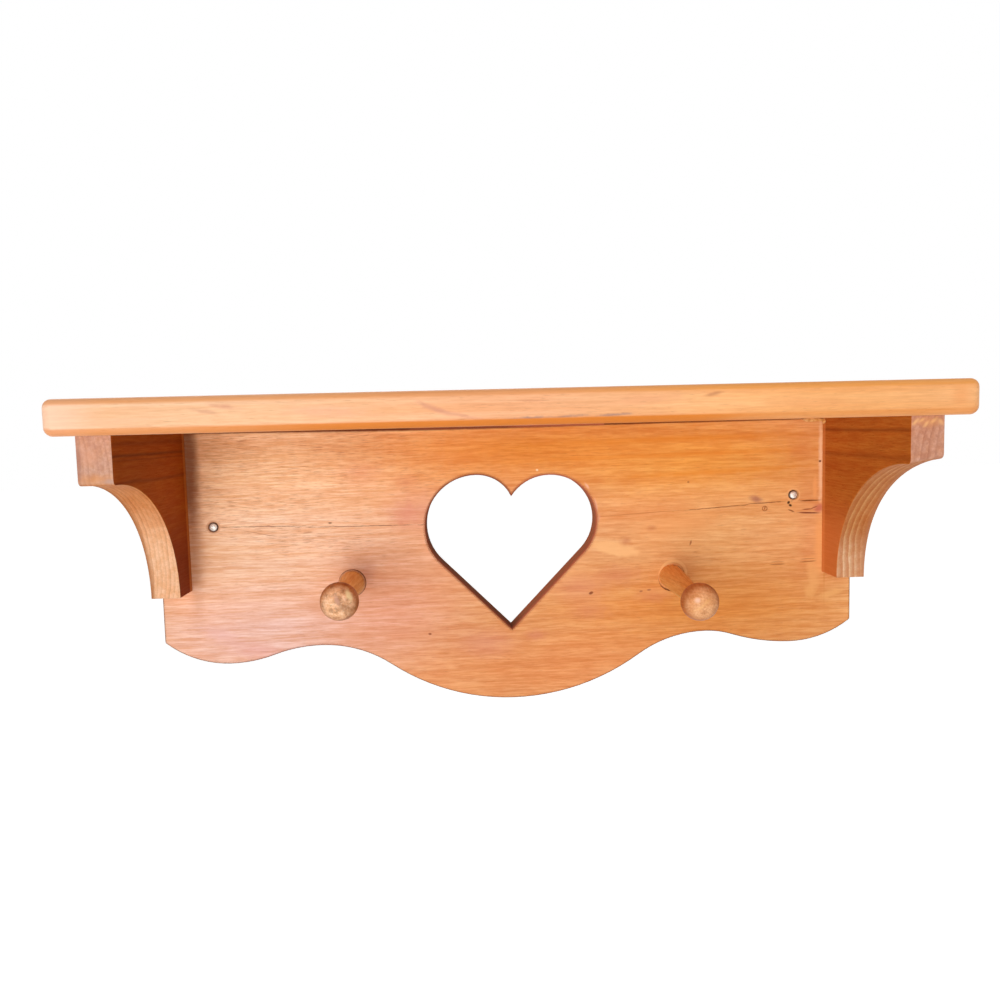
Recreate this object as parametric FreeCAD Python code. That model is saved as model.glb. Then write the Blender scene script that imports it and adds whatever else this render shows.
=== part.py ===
import FreeCAD, Part

import math
import os

from FreeCAD import Rotation, Vector

# Small wall shelf over a peg rail: a shelf, a pierced back board, two coved brackets and two turned pegs.
# Millimetres and degrees. X runs along the shelf, +Y into the wall, +Z up.
# The origin is on the wall, on the centre line, level with the underside of the shelf.

# Shelf board
shelf_length = 484.0
shelf_depth = 164.0
shelf_thick = 19.0
shelf_corner = 5.5
shelf_round = 4.5
shelf_overhang = 4.5
shelf_nosing = 26.0

# Back board
board_thick = 19.0
board_height = 189.2
board_corner = 2.0
board_arris = 0.8

# Each half of the scalloped lower edge, as shares of half the board's length and of its height,
# and of each sweep from a low point to the next high one
left_edge_shares = {"hump": (0.552, 0.780), "lobe": (0.816, 0.837), "end": 0.753, "sweeps": (0.64, 0.52)}
right_edge_shares = {"hump": (0.570, 0.774), "lobe": (0.819, 0.824), "end": 0.746, "sweeps": (0.65, 0.31)}

# Pierced heart, cut freehand, with each lobe's middle, top and radius
heart_left_lobe = (22.4, 33.1, 35.0)
heart_right_lobe = (27.9, 34.3, 31.5)
heart_notch = 48.4
heart_notch_aside = 1.4
heart_foot = 140.0
heart_arris = 1.2

# Brackets
bracket_thick = 19.0
bracket_height = 107.0
bracket_inset = 1.3
bracket_foot = 24.0
bracket_corner = 3.0
bracket_flat = 1.0
bracket_arris = 0.5

# The cove's start below the shelf, how far it would fall if it ran on straight, and the share of its bend
true_cove = {"start": 27.0, "fall": 0.0, "bend_share": 0.707}
skewed_cove = {"start": 24.1, "fall": 12.7, "bend_share": 0.85}

# Pegs, measured along the peg from its shoulder
peg_base_radius = 8.2
peg_neck_radius = 5.3
peg_neck_cove = 1.5
peg_swell = 0.5
peg_head_radius = 11.8
peg_head_half = 10.8
peg_head_place = 67.6
peg_tenon_radius = 6.35
peg_tenon_web = 2.5
peg_tenon_gap = 0.5
peg_seat_depth = 0.8
peg_seat_rim = 1.2

# Each peg's place on the board, as shares of half its length and of its height,
# and its lean to the right and upwards
left_peg_shares = (-0.459, 0.555)
left_peg_lean = (1.0, 0.9)
right_peg_shares = (0.469, 0.566)
right_peg_lean = (1.6, -3.6)

# Wall screws, each with a round head in a shallow recess
wall_screw_head_radius = 3.2
wall_screw_head_height = 2.1
wall_screw_shank_radius = 1.95
wall_screw_thread_radius = 1.75
wall_screw_bite = 20.0
wall_screw_tip = 4.0
wall_screw_hole_radius = 2.2
wall_screw_recess_radius = 3.7
wall_screw_recess_depth = 0.9
wall_screw_slot_length = 3.0
wall_screw_slot_width = 0.7
wall_screw_slot_depth = 1.1
left_screw_gap = 16.3
left_screw_drop_share = 0.337
right_screw_gap = 20.2
right_screw_drop_share = 0.278

# Countersunk screws from behind the board into the brackets
bracket_screw_head_radius = 3.4
bracket_screw_head_height = 2.4
bracket_screw_radius = 1.75
bracket_screw_bite = 17.0
bracket_screw_tip = 4.0
bracket_screw_sink = 0.4
bracket_screw_slot_length = 3.6
bracket_screw_slot_width = 0.7
bracket_screw_slot_depth = 1.2
bracket_screw_drop_shares = (0.28, 0.80)

# Finish nails through the shelf, set below its top and filled
nail_head_radius = 1.3
nail_head_height = 1.2
nail_radius = 0.85
nail_bite = 19.0
nail_tip = 2.5
nail_set = 1.5
bracket_nail_shares = (0.26, 0.80)
back_nail_shares = (-0.76, -0.26, 0.26, 0.76)

# Radial clearances, and the overrun of every cut
tenon_clearance = 0.05
seat_clearance = 0.1
fastener_clearance = 0.05
overrun = 2.0

# Sizes that follow from the ones above
board_length = shelf_length - 2 * shelf_overhang
board_half = board_length / 2
bracket_depth = shelf_depth - board_thick - shelf_nosing
bracket_outer = board_half - bracket_inset
bracket_inner = bracket_outer - bracket_thick
bracket_middle = (bracket_inner + bracket_outer) / 2
wall_screw_seat = board_thick - wall_screw_recess_depth
peg_tenon = board_thick - peg_tenon_web - peg_seat_depth - peg_tenon_gap
nail_seat = shelf_thick - nail_set - nail_head_height

origin = Vector(0, 0, 0)
right = Vector(1, 0, 0)
up = Vector(0, 0, 1)
to_wall = Vector(0, 1, 0)
to_room = Vector(0, -1, 0)
quarter_turn = 90
full_turn = 360
round_bend_share = math.sqrt(0.5)


# Geometry helpers

def line(a, b):
    return Part.LineSegment(a, b).toShape()


# The shorter arc from a to b about a centre.
def arc_about(a, centre, b):
    middle = (a + b) / 2 - centre
    middle.normalize()
    return Part.Arc(a, centre + middle * (a - centre).Length, b).toShape()


# A bend from a to b, whose two end tangents meet at the corner.
def bend(a, corner, b, share):
    curve = Part.BezierCurve()
    curve.setPoles([a, corner, b])
    curve.setWeight(2, share)
    return curve.toShape()


def wire_from(edges):
    return Part.Wire(Part.__sortEdges__(edges))


def face_from(edges):
    return Part.Face(wire_from(edges))


def turned(edges):
    return face_from(edges).revolve(origin, up, full_turn)


# The same from straight lines between (radius, height) points.
def turned_outline(points):
    corners = [Vector(radius, 0, height) for radius, height in points]
    return turned([line(a, b) for a, b in zip(corners, corners[1:] + corners[:1])])


# Moves a shape made about the Z axis, so that its +Z points along direction.
def aimed(shape, place, direction):
    moved = shape.copy()
    moved.Placement = FreeCAD.Placement(place, Rotation(up, direction))
    return moved


def at_places(shape, places, direction):
    return [aimed(shape, place, direction) for place in places]


# Rounds the edges that the test picks out.
def eased(solid, radius, chosen):
    return solid.makeFillet(radius, [edge for edge in solid.Edges if chosen(edge.BoundBox)])


def mirrored(edges):
    return [edge.mirror(origin, right) for edge in edges]


# Two arcs that join a to b, level at both ends. The first takes the given share of the sweep.
def ogee(a, b, share):
    run = b.x - a.x
    rise = b.z - a.z
    radii = (run * run + rise * rise) / (2 * rise)
    meet = a + (b - a) * share
    first = a + up * (share * radii)
    second = b - up * ((1 - share) * radii)
    return [arc_about(a, first, meet), arc_about(meet, second, b)]


# Where a line from the point touches a circle in the XZ plane, on the left of the way from the centre.
def touching(centre, radius, point):
    way = point - centre
    share = radius / way.Length
    aside = Vector(-way.z, 0, way.x)
    return centre + (way * share + aside * math.sqrt(1 - share * share)) * share


# Outlines

# One end and half of the lower edge of the board, a run of arcs that meet without a corner.
def board_half_outline(shares):
    hump_place, hump_drop = shares["hump"]
    lobe_place, lobe_drop = shares["lobe"]
    foot_sweep, hump_sweep = shares["sweeps"]
    foot = Vector(0, 0, -board_height)
    hump = Vector(hump_place * board_half, 0, -hump_drop * board_height)
    lobe = Vector(lobe_place * board_half, 0, -lobe_drop * board_height)
    end = Vector(board_half, 0, -shares["end"] * board_height)
    run = end.x - lobe.x
    rise = end.z - lobe.z
    end_centre = lobe + up * ((run * run + rise * rise) / (2 * rise))
    top = Vector(board_half, 0, 0)
    lower_edge = ogee(foot, hump, foot_sweep) + ogee(hump, lobe, hump_sweep)
    return lower_edge + [arc_about(lobe, end_centre, end), line(end, top)]


# Half of the heart: an arc from the notch up to the crown, a round lobe and a straight side.
def heart_half_outline(lobe, notch_aside):
    lobe_middle, lobe_top, lobe_radius = lobe
    crown = Vector(lobe_middle, 0, -lobe_top)
    lobe_centre = crown - up * lobe_radius
    notch = Vector(notch_aside, 0, -heart_notch)
    foot = up * -heart_foot
    run = crown.x - notch.x
    rise = crown.z - notch.z
    inner_radius = (run * run + rise * rise) / (2 * rise)
    meet = touching(lobe_centre, lobe_radius, foot)
    return [
        arc_about(notch, crown - up * inner_radius, crown),
        arc_about(crown, lobe_centre, meet),
        line(meet, foot),
    ]


# The bracket's side: a block at the front, a cove under it and a level foot at the board.
def bracket_outline(x, cove):
    back = -board_thick
    front = back - bracket_depth
    top_back = Vector(x, back, 0)
    top_front = Vector(x, front, 0)
    corner_centre = Vector(x, front + bracket_corner, bracket_corner - cove["start"])
    corner_front = corner_centre + to_room * bracket_corner
    corner_foot = corner_centre - up * bracket_corner
    cove_start = corner_foot + to_wall * bracket_flat
    foot_front = Vector(x, back - bracket_foot, -bracket_height)
    foot_back = Vector(x, back, -bracket_height)
    cove_corner = Vector(x, foot_front.y, cove_start.z - cove["fall"])
    return [
        line(top_back, top_front),
        line(top_front, corner_front),
        arc_about(corner_front, corner_centre, corner_foot),
        line(corner_foot, cove_start),
        bend(cove_start, cove_corner, foot_front, cove["bend_share"]),
        line(foot_front, foot_back),
        line(foot_back, top_back),
    ]


# Fasteners and their holes, made about the Z axis with the head upwards

# The underside of the head is at zero.
def wall_screw():
    radius = wall_screw_head_radius
    height = wall_screw_head_height
    tip = -wall_screw_seat - wall_screw_bite
    rim = Vector(radius, 0, 0)
    crest = Vector(0, 0, height)
    corners = [
        rim,
        Vector(wall_screw_shank_radius, 0, 0),
        Vector(wall_screw_shank_radius, 0, -wall_screw_seat),
        Vector(wall_screw_thread_radius, 0, -wall_screw_seat),
        Vector(wall_screw_thread_radius, 0, tip + wall_screw_tip),
        Vector(0, 0, tip),
        crest,
    ]
    dome_radius = (radius * radius + height * height) / (2 * height)
    edges = [line(a, b) for a, b in zip(corners, corners[1:])]
    edges.append(arc_about(crest, crest - up * dome_radius, rim))
    slot = driving_slot(wall_screw_slot_length, wall_screw_slot_width, height, wall_screw_slot_depth)
    return turned(edges).cut(slot)


# The head's flat top is a little below zero, which is the wall face.
def bracket_screw_body(gap):
    head = bracket_screw_head_radius + gap
    shank = bracket_screw_radius + gap
    tip = -board_thick - bracket_screw_bite
    return turned_outline([
        (0, -bracket_screw_sink),
        (head, -bracket_screw_sink),
        (shank, -bracket_screw_sink - bracket_screw_head_height),
        (shank, tip + bracket_screw_tip),
        (0, tip),
    ])


def bracket_screw():
    slot = driving_slot(
        bracket_screw_slot_length, bracket_screw_slot_width, -bracket_screw_sink, bracket_screw_slot_depth
    )
    return bracket_screw_body(0).cut(slot)


def bracket_screw_hole():
    radius = bracket_screw_head_radius + fastener_clearance
    mouth = Part.makeCylinder(radius, bracket_screw_sink + overrun, up * -bracket_screw_sink)
    return bracket_screw_body(fastener_clearance).fuse(mouth)


# Zero is the underside of the shelf. The head stays below the shelf's top.
def nail_outline(gap, head_top):
    head = nail_head_radius + gap
    shank = nail_radius + gap
    return turned_outline([
        (0, head_top),
        (head, head_top),
        (head, nail_seat),
        (shank, nail_seat),
        (shank, nail_tip - nail_bite),
        (0, -nail_bite),
    ])


def nail():
    return nail_outline(0, nail_seat + nail_head_height)


def nail_hole():
    return nail_outline(fastener_clearance, shelf_thick + overrun)


def filler_plug():
    return Part.makeCylinder(nail_head_radius, nail_set, up * (shelf_thick - nail_set))


# A crossed driving slot, cut down from the top of a head.
def driving_slot(length, width, top, depth):
    bar = Part.makeBox(length, width, depth + overrun)
    bar.translate(Vector(-length / 2, -width / 2, top - depth))
    crossbar = bar.copy()
    crossbar.rotate(origin, up, quarter_turn)
    return bar.fuse(crossbar)


# Places

# The middle of a peg's shoulder, and the way that the peg points.
def peg_axis(shares, lean):
    face_point = Vector(shares[0] * board_half, -board_thick, -shares[1] * board_height)
    sideways, upwards = [math.tan(math.radians(angle)) for angle in lean]
    direction = to_room + right * sideways + up * upwards
    direction.normalize()
    return face_point - direction * peg_seat_depth, direction


peg_axes = {
    "left_peg": peg_axis(left_peg_shares, left_peg_lean),
    "right_peg": peg_axis(right_peg_shares, right_peg_lean),
}
wall_screw_places = [
    Vector(left_screw_gap - bracket_inner, -wall_screw_seat, -left_screw_drop_share * board_height),
    Vector(bracket_inner - right_screw_gap, -wall_screw_seat, -right_screw_drop_share * board_height),
]
bracket_screw_places = [
    Vector(side * bracket_middle, 0, -share * bracket_height)
    for side in (-1, 1)
    for share in bracket_screw_drop_shares
]
bracket_nail_places = [
    Vector(side * bracket_middle, -board_thick - share * bracket_depth, 0)
    for side in (-1, 1)
    for share in bracket_nail_shares
]
back_nail_places = [Vector(share * board_half, -board_thick / 2, 0) for share in back_nail_shares]


# Pieces

def make_shelf():
    board = Part.makeBox(shelf_length, shelf_depth, shelf_thick)
    board.translate(Vector(-shelf_length / 2, -shelf_depth, 0))

    def front_corner(box):
        return box.ZLength > shelf_thick / 2 and box.YMax < -board_thick

    def rim_but_back(box):
        return box.ZLength < shelf_thick / 2 and box.YMin < -board_thick

    board = eased(board, shelf_corner, front_corner)
    board = eased(board, shelf_round, rim_but_back)
    return board.cut(at_places(nail_hole(), bracket_nail_places + back_nail_places, up))


def make_back_board():
    outline = board_half_outline(right_edge_shares) + mirrored(board_half_outline(left_edge_shares))
    outline.append(line(right * board_half, right * -board_half))
    heart = heart_half_outline(heart_right_lobe, heart_notch_aside)
    heart += mirrored(heart_half_outline(heart_left_lobe, -heart_notch_aside))
    board = face_from(outline).extrude(to_room * board_thick)

    def lower_corner(box):
        outside = min(abs(box.XMin), abs(box.XMax)) > bracket_middle
        return outside and box.YLength > board_thick / 2 and box.ZMax < -bracket_height

    def rim_but_top(box):
        return box.YLength < board_arris and box.ZMin < -board_arris

    def heart_rim(box):
        inside = -board_half / 2 < box.XMin and box.XMax < board_half / 2
        return inside and box.YLength < heart_arris and box.ZMin > -heart_foot - heart_arris

    board = eased(board, board_corner, lower_corner)
    board = eased(board, board_arris, rim_but_top)
    board = board.cut(face_from(heart).extrude(to_room * board_thick))
    board = eased(board, heart_arris, heart_rim)
    cuts = [cut for place, direction in peg_axes.values() for cut in peg_hole(place, direction)]
    for place in wall_screw_places:
        cuts.append(Part.makeCylinder(wall_screw_hole_radius, board_thick, place, to_wall))
        cuts.append(Part.makeCylinder(wall_screw_recess_radius, board_thick, place, to_room))
    cuts += at_places(bracket_screw_hole(), bracket_screw_places, to_wall)
    cuts += at_places(nail_hole(), back_nail_places, up)
    return board.cut(cuts)


# The tenon's blind hole, and a shallow countersink where the shoulder sits.
def peg_hole(place, direction):
    bore_radius = peg_tenon_radius + tenon_clearance
    bore = Part.makeCylinder(bore_radius, peg_tenon + peg_tenon_gap, place, direction * -1)
    seat_radius = peg_base_radius + seat_clearance
    height = peg_seat_depth + overrun
    spread = height * peg_seat_rim / peg_seat_depth
    return [bore, Part.makeCone(seat_radius, seat_radius + spread, height, place, direction)]


# The left bracket is sawn square.
def left_blank():
    return face_from(bracket_outline(-bracket_outer, true_cove)).extrude(right * bracket_thick)


# The right one is sawn askew, with another cove on its outer side than on its inner one.
def right_blank():
    inner = wire_from(bracket_outline(bracket_inner, true_cove))
    outer = wire_from(bracket_outline(bracket_outer, skewed_cove))
    return Part.makeLoft([inner, outer], True, True)


def make_bracket(blank):

    def free_side_arris(box):
        at_joint = box.ZMin > -bracket_arris or box.YMin > -board_thick - bracket_arris
        return box.XLength < bracket_arris and not at_joint

    bracket = eased(blank, bracket_arris, free_side_arris)
    cuts = at_places(bracket_screw_hole(), bracket_screw_places, to_wall)
    cuts += at_places(nail_hole(), bracket_nail_places, up)
    return bracket.cut(cuts)


# A straight tenon, a shank that swells a little as it tapers, and an oval head.
def peg():
    shoulder = Vector(peg_base_radius, 0, 0)
    tenon_foot = Vector(peg_tenon_radius, 0, -peg_tenon)
    neck = Vector(peg_neck_radius, 0, peg_head_place - peg_head_half)
    swell = (shoulder + neck) / 2 + right * peg_swell
    head_centre = up * peg_head_place
    shank = turned([
        line(up * -peg_tenon, tenon_foot),
        line(tenon_foot, right * peg_tenon_radius),
        line(right * peg_tenon_radius, shoulder),
        Part.Arc(shoulder, swell, neck).toShape(),
        line(neck, neck + up * peg_head_half),
        line(neck + up * peg_head_half, head_centre),
        line(head_centre, up * -peg_tenon),
    ])
    crest = head_centre + up * peg_head_half
    base = head_centre - up * peg_head_half
    rim = head_centre + right * peg_head_radius
    head = turned([
        bend(crest, crest + right * peg_head_radius, rim, round_bend_share),
        bend(rim, base + right * peg_head_radius, base, round_bend_share),
        line(base, crest),
    ])

    def neck_ring(box):
        wide = box.XLength < 2 * peg_neck_radius + peg_neck_cove
        return wide and box.ZLength < peg_neck_cove and neck.z < box.ZMin < peg_head_place

    return eased(shank.fuse(head), peg_neck_cove, neck_ring)


def keep(name, shapes):
    solids = [solid for shape in shapes for solid in shape.Solids]
    for solid in solids:
        print(name, round(solid.Volume), "valid" if solid.isValid() else "NOT VALID")
    kept = solids[0] if len(solids) == 1 else Part.makeCompound(solids)
    kept.exportStep(os.path.join("parts", name + ".step"))


os.makedirs("parts", exist_ok=True)
keep("shelf_board", [make_shelf()])
keep("back_board", [make_back_board()])
keep("left_bracket", [make_bracket(left_blank())])
keep("right_bracket", [make_bracket(right_blank())])
for peg_name, (peg_place, peg_direction) in peg_axes.items():
    keep(peg_name, [aimed(peg(), peg_place, peg_direction)])
keep("wall_screws", at_places(wall_screw(), wall_screw_places, to_room))
keep("bracket_screws", at_places(bracket_screw(), bracket_screw_places, to_wall))
keep("bracket_nails", at_places(nail(), bracket_nail_places, up))
keep("back_nails", at_places(nail(), back_nail_places, up))
keep("nail_filler", at_places(filler_plug(), bracket_nail_places + back_nail_places, up))
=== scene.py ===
import math

import bpy
from mathutils import Matrix, Vector, noise


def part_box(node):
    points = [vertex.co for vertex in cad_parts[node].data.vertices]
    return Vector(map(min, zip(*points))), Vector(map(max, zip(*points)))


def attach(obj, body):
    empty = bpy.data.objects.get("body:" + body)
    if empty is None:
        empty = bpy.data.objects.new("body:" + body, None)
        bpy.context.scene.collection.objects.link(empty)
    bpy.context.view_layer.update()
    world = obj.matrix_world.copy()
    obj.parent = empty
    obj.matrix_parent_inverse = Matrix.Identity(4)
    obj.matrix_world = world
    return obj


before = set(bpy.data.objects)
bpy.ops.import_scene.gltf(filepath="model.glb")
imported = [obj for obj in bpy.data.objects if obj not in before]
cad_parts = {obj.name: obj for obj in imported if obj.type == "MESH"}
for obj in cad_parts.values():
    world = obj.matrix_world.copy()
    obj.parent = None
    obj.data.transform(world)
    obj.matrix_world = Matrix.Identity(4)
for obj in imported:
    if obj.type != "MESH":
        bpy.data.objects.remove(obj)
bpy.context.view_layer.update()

scene = bpy.context.scene
print("frame loaded:", len(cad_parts), "pieces")

# All places are in metres: x along the shelf, y into the wall, z up from the shelf's underside.
# All colours are written as 0 to 255, the way a colour picker gives them.


# Small helpers for node trees

def paint(colour):
    shares = [part / 255 for part in colour]
    linear = [s / 12.92 if s <= 0.04045 else ((s + 0.055) / 1.055) ** 2.4 for s in shares]
    return (*linear, 1.0)


def put(tree, kind, inputs=None, **settings):
    node = tree.nodes.new(kind)
    for name, value in settings.items():
        setattr(node, name, value)
    for key, value in (inputs or {}).items():
        if isinstance(value, bpy.types.NodeSocket):
            tree.links.new(value, node.inputs[key])
        else:
            node.inputs[key].default_value = value
    return node


def calc(tree, operation, a, b=0.0, c=0.0, clamp=False):
    return put(tree, "ShaderNodeMath", {0: a, 1: b, 2: c}, operation=operation, use_clamp=clamp).outputs[0]


def product(tree, a, b):
    return calc(tree, "MULTIPLY", a, b)


def vectorCalc(tree, operation, a, b=(0.0, 0.0, 0.0)):
    return put(tree, "ShaderNodeVectorMath", {0: a, 1: b}, operation=operation).outputs


def mixed(tree, share, a, b, blend="MIX"):
    return put(tree, "ShaderNodeMix", {0: share, 6: a, 7: b}, data_type="RGBA", blend_type=blend).outputs[2]


def ranged(tree, value, low, high, toLow=0.0, toHigh=1.0):
    inputs = {0: value, 1: low, 2: high, 3: toLow, 4: toHigh}
    return put(tree, "ShaderNodeMapRange", inputs, interpolation_type="SMOOTHSTEP").outputs[0]


def speckle(tree, place, scale, detail, roughness=0.5):
    inputs = {"Vector": place, "Scale": scale, "Detail": detail, "Roughness": roughness}
    return put(tree, "ShaderNodeTexNoise", inputs).outputs


def surfacePlace(tree):
    return put(tree, "ShaderNodeNewGeometry").outputs["Position"]


def parted(tree, vector):
    return put(tree, "ShaderNodeSeparateXYZ", {0: vector}).outputs


def joined(tree, x, y, z):
    return put(tree, "ShaderNodeCombineXYZ", {0: x, 1: y, 2: z}).outputs[0]


def newGroup(name, ins, outs):
    group = bpy.data.node_groups.new(name, "ShaderNodeTree")
    for label, kind, value in ins:
        socket = group.interface.new_socket(label, in_out="INPUT", socket_type=kind)
        if value is not None:
            socket.default_value = value
    for label in outs:
        group.interface.new_socket(label, in_out="OUTPUT", socket_type="NodeSocketFloat")
    return group, group.nodes.new("NodeGroupInput").outputs, group.nodes.new("NodeGroupOutput").inputs


def useGroup(tree, group, inputs=None):
    return put(tree, "ShaderNodeGroup", inputs, node_tree=group).outputs


# Wood figure: the grain runs along X of the coordinates, and the rings go round a pith line.
figureNoises = {  # scale along the grain, scale across it, detail, roughness
    "slowBend": (5.0, 22.0, 3.0, 0.5),
    "quickBend": (24.0, 160.0, 4.0, 0.5),
    "fibre": (64.0, 860.0, 4.0, 0.66),
    "pores": (120.0, 3000.0, 2.0, 0.55),
    "poreFields": (14.0, 60.0, 3.0, 0.5),
    "cloud": (6.0, 18.0, 3.0, 0.55),
    "streaks": (4.5, 210.0, 3.0, 0.6),
}
ringShape = {"quickBendShare": 0.16, "taper": 0.018, "riseSharpness": 2.2, "fallFrom": 0.86, "weakest": 0.3}
poreShape = {"limit": 0.70, "densityShare": -0.26, "softness": 0.09}


def buildFigure():
    group, ins, outs = newGroup("WoodFigure", [
        ("Coordinates", "NodeSocketVector", None),
        ("Pith Across", "NodeSocketFloat", 0.03),
        ("Pith Up", "NodeSocketFloat", 0.0),
        ("Ring Spacing", "NodeSocketFloat", 0.004),
        ("Wander", "NodeSocketFloat", 0.006),
        ("Seed", "NodeSocketFloat", 0.0),
        ("Pore Density", "NodeSocketFloat", 0.5),
    ], ["Late Wood", "Fibre", "Pores", "Cloud", "Streaks"])
    seedShift = joined(group, ins["Seed"], ins["Seed"], ins["Seed"])

    def stretched(name):
        along, across, detail, roughness = figureNoises[name]
        scaled = vectorCalc(group, "MULTIPLY", ins["Coordinates"], (along, across, across))[0]
        return speckle(group, vectorCalc(group, "ADD", scaled, seedShift)[0], 1.0, detail, roughness)[0]

    parts = parted(group, ins["Coordinates"])
    across = calc(group, "SUBTRACT", parts[1], ins["Pith Across"])
    height = calc(group, "SUBTRACT", parts[2], ins["Pith Up"])
    squares = calc(group, "ADD", product(group, across, across), product(group, height, height))
    radius = calc(group, "SQRT", squares)
    slowBend = calc(group, "SUBTRACT", stretched("slowBend"), 0.5)
    quickBend = calc(group, "SUBTRACT", stretched("quickBend"), 0.5)
    bend = calc(group, "MULTIPLY_ADD", quickBend, ringShape["quickBendShare"], slowBend)
    taper = product(group, parts[0], ringShape["taper"])
    reach = calc(group, "ADD", calc(group, "MULTIPLY_ADD", bend, ins["Wander"], radius), taper)
    phase = calc(group, "DIVIDE", reach, ins["Ring Spacing"])
    share = calc(group, "FRACT", phase)
    rise = calc(group, "POWER", share, ringShape["riseSharpness"])
    fall = ranged(group, share, 1.0, ringShape["fallFrom"])
    ringNumber = calc(group, "ADD", calc(group, "FLOOR", phase), ins["Seed"])
    ringNoise = put(group, "ShaderNodeTexWhiteNoise", {"W": ringNumber}, noise_dimensions="1D").outputs[0]
    strength = calc(group, "MULTIPLY_ADD", ringNoise, 1.0 - ringShape["weakest"], ringShape["weakest"])
    group.links.new(product(group, product(group, rise, fall), strength), outs["Late Wood"])
    group.links.new(stretched("fibre"), outs["Fibre"])
    fields = product(group, stretched("poreFields"), ins["Pore Density"])
    limit = calc(group, "MULTIPLY_ADD", fields, poreShape["densityShare"], poreShape["limit"])
    above = calc(group, "SUBTRACT", stretched("pores"), limit)
    group.links.new(ranged(group, above, 0.0, poreShape["softness"]), outs["Pores"])
    group.links.new(stretched("cloud"), outs["Cloud"])
    group.links.new(stretched("streaks"), outs["Streaks"])
    return group


# One mark on a face that looks along Y. It fades with depth, so the other faces stay clean.
markShape = {"softReach": 0.6, "hollowRim": 0.08}


def buildMark():
    group, ins, outs = newGroup("SurfaceMark", [
        ("Coordinates", "NodeSocketVector", None),
        ("Middle", "NodeSocketVector", (0.0, 0.0, 0.0)),
        ("Half Size", "NodeSocketVector", (0.01, 0.01, 0.01)),
        ("Turn", "NodeSocketFloat", 0.0),
        ("Softness", "NodeSocketFloat", 0.5),
        ("Raggedness", "NodeSocketFloat", 0.3),
        ("Hollow", "NodeSocketFloat", 0.0),
        ("Wobble", "NodeSocketVector", None),
    ], ["Mask"])
    shifted = vectorCalc(group, "SUBTRACT", ins["Coordinates"], ins["Middle"])[0]
    turning = {"Vector": shifted, "Angle": ins["Turn"]}
    turned = put(group, "ShaderNodeVectorRotate", turning, rotation_type="Y_AXIS").outputs[0]
    scaled = vectorCalc(group, "DIVIDE", turned, ins["Half Size"])[0]
    raggedInputs = {0: ins["Wobble"], "Scale": ins["Raggedness"]}
    ragged = put(group, "ShaderNodeVectorMath", raggedInputs, operation="SCALE").outputs[0]
    reach = vectorCalc(group, "LENGTH", vectorCalc(group, "ADD", scaled, ragged)[0])[1]
    inner = calc(group, "SUBTRACT", 1.0, ins["Softness"])
    outer = calc(group, "ADD", 1.0, product(group, ins["Softness"], markShape["softReach"]))
    solid = ranged(group, reach, inner, outer, 1.0, 0.0)
    rim = ranged(group, reach, calc(group, "SUBTRACT", ins["Hollow"], markShape["hollowRim"]), ins["Hollow"])
    group.links.new(product(group, solid, rim), outs["Mask"])
    return group


# Which way each surface looks, and how near a sharp edge is.
facingShape = {"samples": 8, "edgeRange": (1.0, 0.72)}


def buildFacing():
    group, ins, outs = newGroup("Facing", [
        ("Edge Radius", "NodeSocketFloat", 0.0012),
    ], ["Across", "Front", "Back", "Up", "Down", "Edge"])
    normal = put(group, "ShaderNodeNewGeometry").outputs["Normal"]
    parts = parted(group, normal)
    group.links.new(calc(group, "ABSOLUTE", parts[0]), outs["Across"])
    for name, part, sign in (("Front", 1, -1.0), ("Back", 1, 1.0), ("Up", 2, 1.0), ("Down", 2, -1.0)):
        group.links.new(calc(group, "MULTIPLY", parts[part], sign, clamp=True), outs[name])
    bevelInputs = {"Radius": ins["Edge Radius"]}
    rounded = put(group, "ShaderNodeBevel", bevelInputs, samples=facingShape["samples"]).outputs[0]
    along = vectorCalc(group, "DOT_PRODUCT", normal, rounded)[1]
    group.links.new(ranged(group, along, *facingShape["edgeRange"]), outs["Edge"])
    return group


figure = buildFigure()
surfaceMark = buildMark()
facing = buildFacing()
print("shader groups built")


def newMaterial(name):
    material = bpy.data.materials.new(name)
    material.use_nodes = True
    return material, material.node_tree, material.node_tree.nodes["Principled BSDF"]


# A mark is (x, z, half length, half height, turn in degrees, softness, raggedness, colour, strength),
# and a ring is (x, z, inner radius, outer radius, colour, strength).
marking = {
    "depth": 0.009,  # how far a mark reaches in from its face
    "wobbleScale": 210.0,
    "wobbleDetail": 3.0,
    "ringSoftness": 0.05,
    "ringRaggedness": 0.06,
}


def raggedEdges(tree, place):
    wobble = speckle(tree, place, marking["wobbleScale"], marking["wobbleDetail"])[1]
    return vectorCalc(tree, "SUBTRACT", wobble, (0.5, 0.5, 0.5))[0]


def markMask(tree, place, wobble, middle, halfSize, turn, softness, raggedness, hollow=0.0):
    return useGroup(tree, surfaceMark, {
        "Coordinates": place,
        "Wobble": wobble,
        "Middle": middle,
        "Half Size": halfSize,
        "Turn": math.radians(turn),
        "Softness": softness,
        "Raggedness": raggedness,
        "Hollow": hollow,
    })["Mask"]


def addMarks(tree, colour, place, wobble, marks, faceDepth, depth=marking["depth"]):
    for x, z, halfLength, halfHeight, turn, softness, raggedness, tint, strength in marks:
        halfSize = (halfLength, depth, halfHeight)
        mask = markMask(tree, place, wobble, (x, faceDepth, z), halfSize, turn, softness, raggedness)
        colour = mixed(tree, product(tree, mask, strength), colour, paint(tint))
    return colour


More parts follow.
